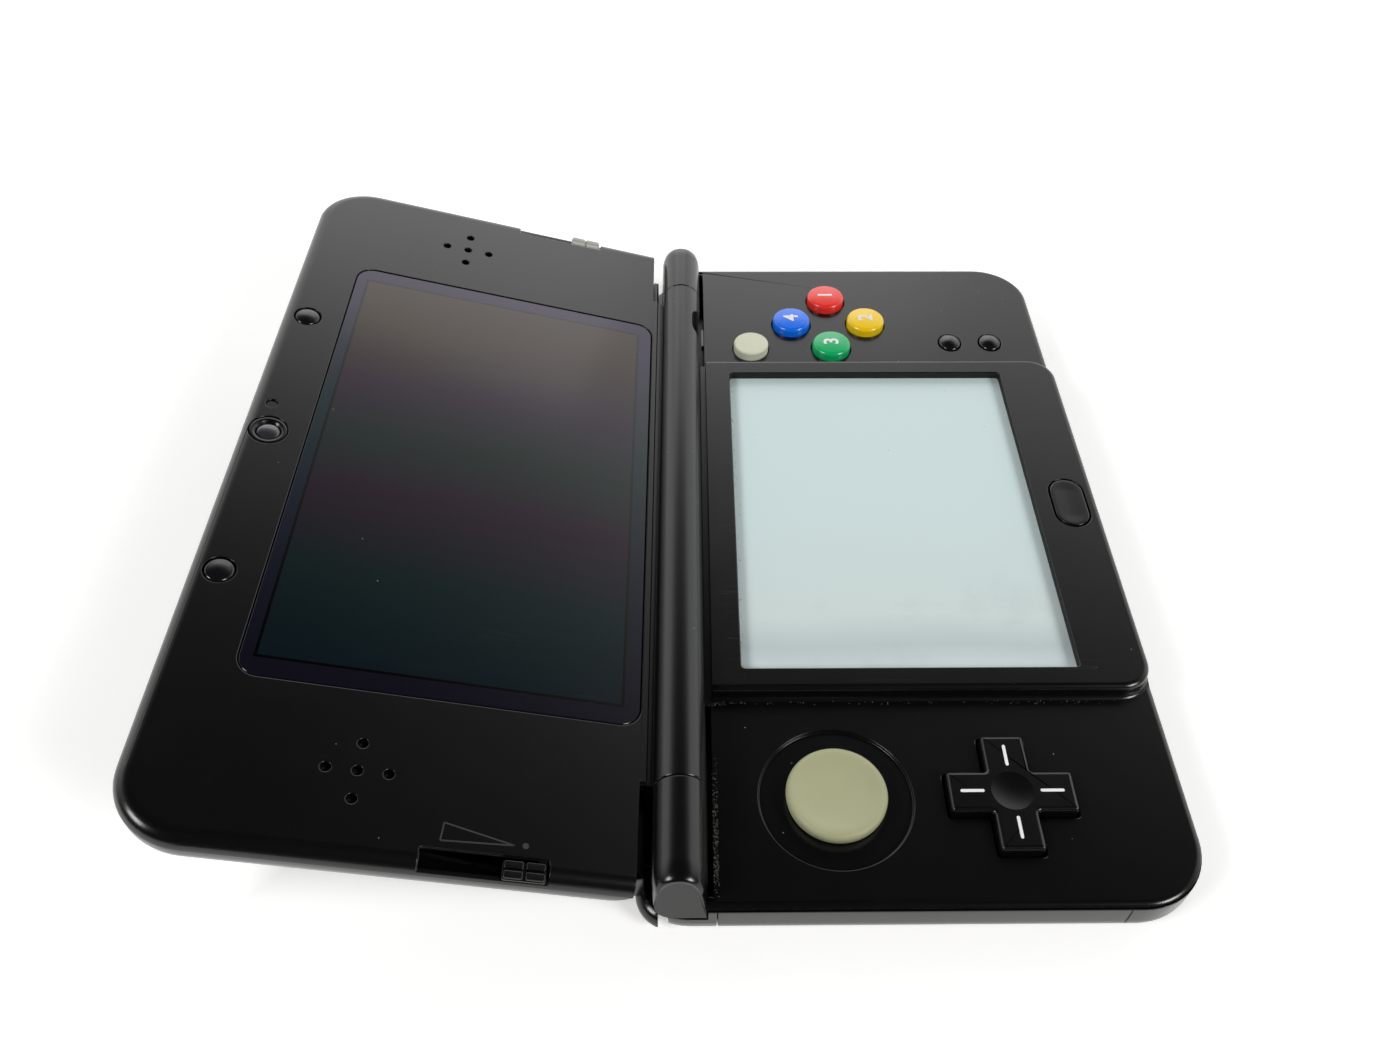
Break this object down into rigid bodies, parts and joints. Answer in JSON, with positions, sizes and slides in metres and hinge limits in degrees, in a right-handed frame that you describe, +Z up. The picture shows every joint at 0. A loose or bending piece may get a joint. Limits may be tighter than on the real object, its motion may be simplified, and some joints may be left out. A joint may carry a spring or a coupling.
{
  "type": "clamshell handheld game console",
  "caption": "Clamshell handheld game console, shown open: glossy upper screen in a hinged lid, touch screen and game controls on the base.",
  "frame": {"origin": "centre of the base's underside, on the surface it stands on", "axes": "+X to the player's right, +Y from the front edge to the hinge, +Z up"},
  "size_m": [0.142, 0.1427, 0.0295],
  "materials": {
    "shell": "satin black plastic",
    "shell_gloss": "glossy black plastic",
    "window": "glossy dark window over the picture",
    "touch_surface": "pale matt touch film",
    "display": "flat display module",
    "battery_can": "wrapped cell",
    "board": "printed board",
    "sheet_metal": "bare sheet metal",
    "rubber_grey": "soft moulded rubber",
    "inner_plastic": "plain inner plastic",
    "white_plastic": "off-white plastic",
    "pad_grey": "warm grey plastic",
    "red": "glossy red plastic",
    "yellow": "glossy yellow plastic",
    "green": "glossy green plastic",
    "blue": "glossy blue plastic",
    "light_pipe": "clear light guide",
    "dark_lens": "dark tinted lens",
    "camera_lens": "lens with a plain ring",
    "flex": "rolled flat cable"
  },
  "bodies": {
    "base": {"base_lower_shell": "shell", "base_upper_shell": "shell", "touch_bezel": "shell_gloss", "bottom_cover_plate": "shell", "cover_screws": "sheet_metal", "base_screws": "sheet_metal", "battery": "battery_can", "main_board": "board", "processor_shield": "sheet_metal", "left_control_board": "board", "game_card_slot": "sheet_metal", "memory_card": "inner_plastic", "headphone_jack": "inner_plastic", "charging_port": "inner_plastic", "lower_display": "display", "touch_digitizer": "touch_surface", "left_button_membrane": "rubber_grey", "right_button_membrane": "rubber_grey", "circle_pad_housing": "inner_plastic", "nub_stick": "white_plastic", "microphone": "sheet_metal", "status_lights": "light_pipe", "notification_light": "light_pipe", "infrared_window": "dark_lens", "hinge_pin": "sheet_metal", "hinge_click_unit": "sheet_metal"},
    "lid": {"lid_outer_cover": "shell", "lid_inner_bezel": "shell", "hinge_barrel": "shell", "display_window": "window", "upper_display": "display", "lid_board": "board", "speakers": "inner_plastic", "inner_camera": "camera_lens", "outer_cameras": "camera_lens", "tracking_light": "dark_lens", "lid_bumpers": "rubber_grey", "hinge_flex_cable": "flex", "lid_screws": "sheet_metal"},
    "pad_carriage": {"circle_pad_carriage": "white_plastic"},
    "pad_cap": {"circle_pad": "pad_grey"},
    "rocker_dome": {"dpad_rubber_dome": "rubber_grey"},
    "direction_pad": {"dpad": "shell"},
    "red_key": {"red_button": "red"},
    "yellow_key": {"yellow_button": "yellow"},
    "green_key": {"green_button": "green"},
    "blue_key": {"blue_button": "blue"},
    "select_key": {"select_button": "shell_gloss"},
    "start_key": {"start_button": "shell_gloss"},
    "home_key": {"home_button": "shell_gloss"},
    "power_key": {"power_button": "shell_gloss"},
    "left_shoulder": {"left_shoulder_button": "shell_gloss"},
    "right_shoulder": {"right_shoulder_button": "shell_gloss"},
    "left_trigger": {"left_rear_trigger": "shell_gloss"},
    "right_trigger": {"right_rear_trigger": "shell_gloss"},
    "stylus_pen": {"stylus": "shell"},
    "volume_knob": {"volume_slider": "shell"},
    "depth_knob": {"depth_slider": "white_plastic"}
  },
  "joints": [
    {"name": "lid_hinge", "type": "hinge", "parent": "base", "child": "lid", "pos_m": [0, 0.0317, 0.0116], "axis": [1, 0, 0], "range_deg": [0, 165.3]},
    {"name": "circle_pad_side_slide", "type": "slide", "parent": "base", "child": "pad_carriage", "axis": [1, 0, 0], "range_m": [-0.002, 0.002], "stiffness_N_per_m": 200},
    {"name": "circle_pad_front_slide", "type": "slide", "parent": "pad_carriage", "child": "pad_cap", "axis": [0, 1, 0], "range_m": [-0.002, 0.002], "stiffness_N_per_m": 200},
    {"name": "direction_pad_rock_front", "type": "hinge", "parent": "base", "child": "rocker_dome", "pos_m": [-0.0545, -0.0151, 0.0042], "axis": [1, 0, 0], "range_deg": [-3.5, 3.5], "stiffness_Nm_per_rad": 0.13},
    {"name": "direction_pad_rock_side", "type": "hinge", "parent": "rocker_dome", "child": "direction_pad", "pos_m": [-0.0545, -0.0151, 0.0042], "axis": [0, 1, 0], "range_deg": [-3.5, 3.5], "stiffness_Nm_per_rad": 0.13},
    {"name": "red_button_press", "type": "slide", "parent": "base", "child": "red_key", "axis": [0, 0, -1], "range_m": [0, 0.0009], "stiffness_N_per_m": 600},
    {"name": "yellow_button_press", "type": "slide", "parent": "base", "child": "yellow_key", "axis": [0, 0, -1], "range_m": [0, 0.0009], "stiffness_N_per_m": 600},
    {"name": "green_button_press", "type": "slide", "parent": "base", "child": "green_key", "axis": [0, 0, -1], "range_m": [0, 0.0009], "stiffness_N_per_m": 600},
    {"name": "blue_button_press", "type": "slide", "parent": "base", "child": "blue_key", "axis": [0, 0, -1], "range_m": [0, 0.0009], "stiffness_N_per_m": 600},
    {"name": "select_button_press", "type": "slide", "parent": "base", "child": "select_key", "axis": [0, 0, -1], "range_m": [0, 0.0004], "stiffness_N_per_m": 1500},
    {"name": "start_button_press", "type": "slide", "parent": "base", "child": "start_key", "axis": [0, 0, -1], "range_m": [0, 0.0004], "stiffness_N_per_m": 1500},
    {"name": "home_button_press", "type": "slide", "parent": "base", "child": "home_key", "axis": [0, 0, -1], "range_m": [0, 0.0004], "stiffness_N_per_m": 1500},
    {"name": "power_button_press", "type": "slide", "parent": "base", "child": "power_key", "axis": [0, 1, 0], "range_m": [0, 0.0005], "stiffness_N_per_m": 1500},
    {"name": "left_shoulder_press", "type": "hinge", "parent": "base", "child": "left_shoulder", "pos_m": [-0.0477, 0.0382, 0.005], "axis": [0, 0, 1], "range_deg": [0, 1.9], "stiffness_Nm_per_rad": 0.6},
    {"name": "right_shoulder_press", "type": "hinge", "parent": "base", "child": "right_shoulder", "pos_m": [0.0477, 0.0382, 0.005], "axis": [0, 0, -1], "range_deg": [0, 1.9], "stiffness_Nm_per_rad": 0.6},
    {"name": "left_trigger_press", "type": "slide", "parent": "base", "child": "left_trigger", "axis": [0, -1, 0], "range_m": [0, 0.0007], "stiffness_N_per_m": 1200},
    {"name": "right_trigger_press", "type": "slide", "parent": "base", "child": "right_trigger", "axis": [0, -1, 0], "range_m": [0, 0.0007], "stiffness_N_per_m": 1200},
    {"name": "stylus_draw", "type": "slide", "parent": "base", "child": "stylus_pen", "axis": [0, -1, 0], "range_m": [0, 0.06]},
    {"name": "volume_slide", "type": "slide", "parent": "lid", "child": "volume_knob", "axis": [0, 0.9673, 0.2538], "range_m": [0, 0.01]},
    {"name": "depth_slide", "type": "slide", "parent": "lid", "child": "depth_knob", "axis": [0, 0.9673, 0.2538], "range_m": [0, 0.01]}
  ]
}
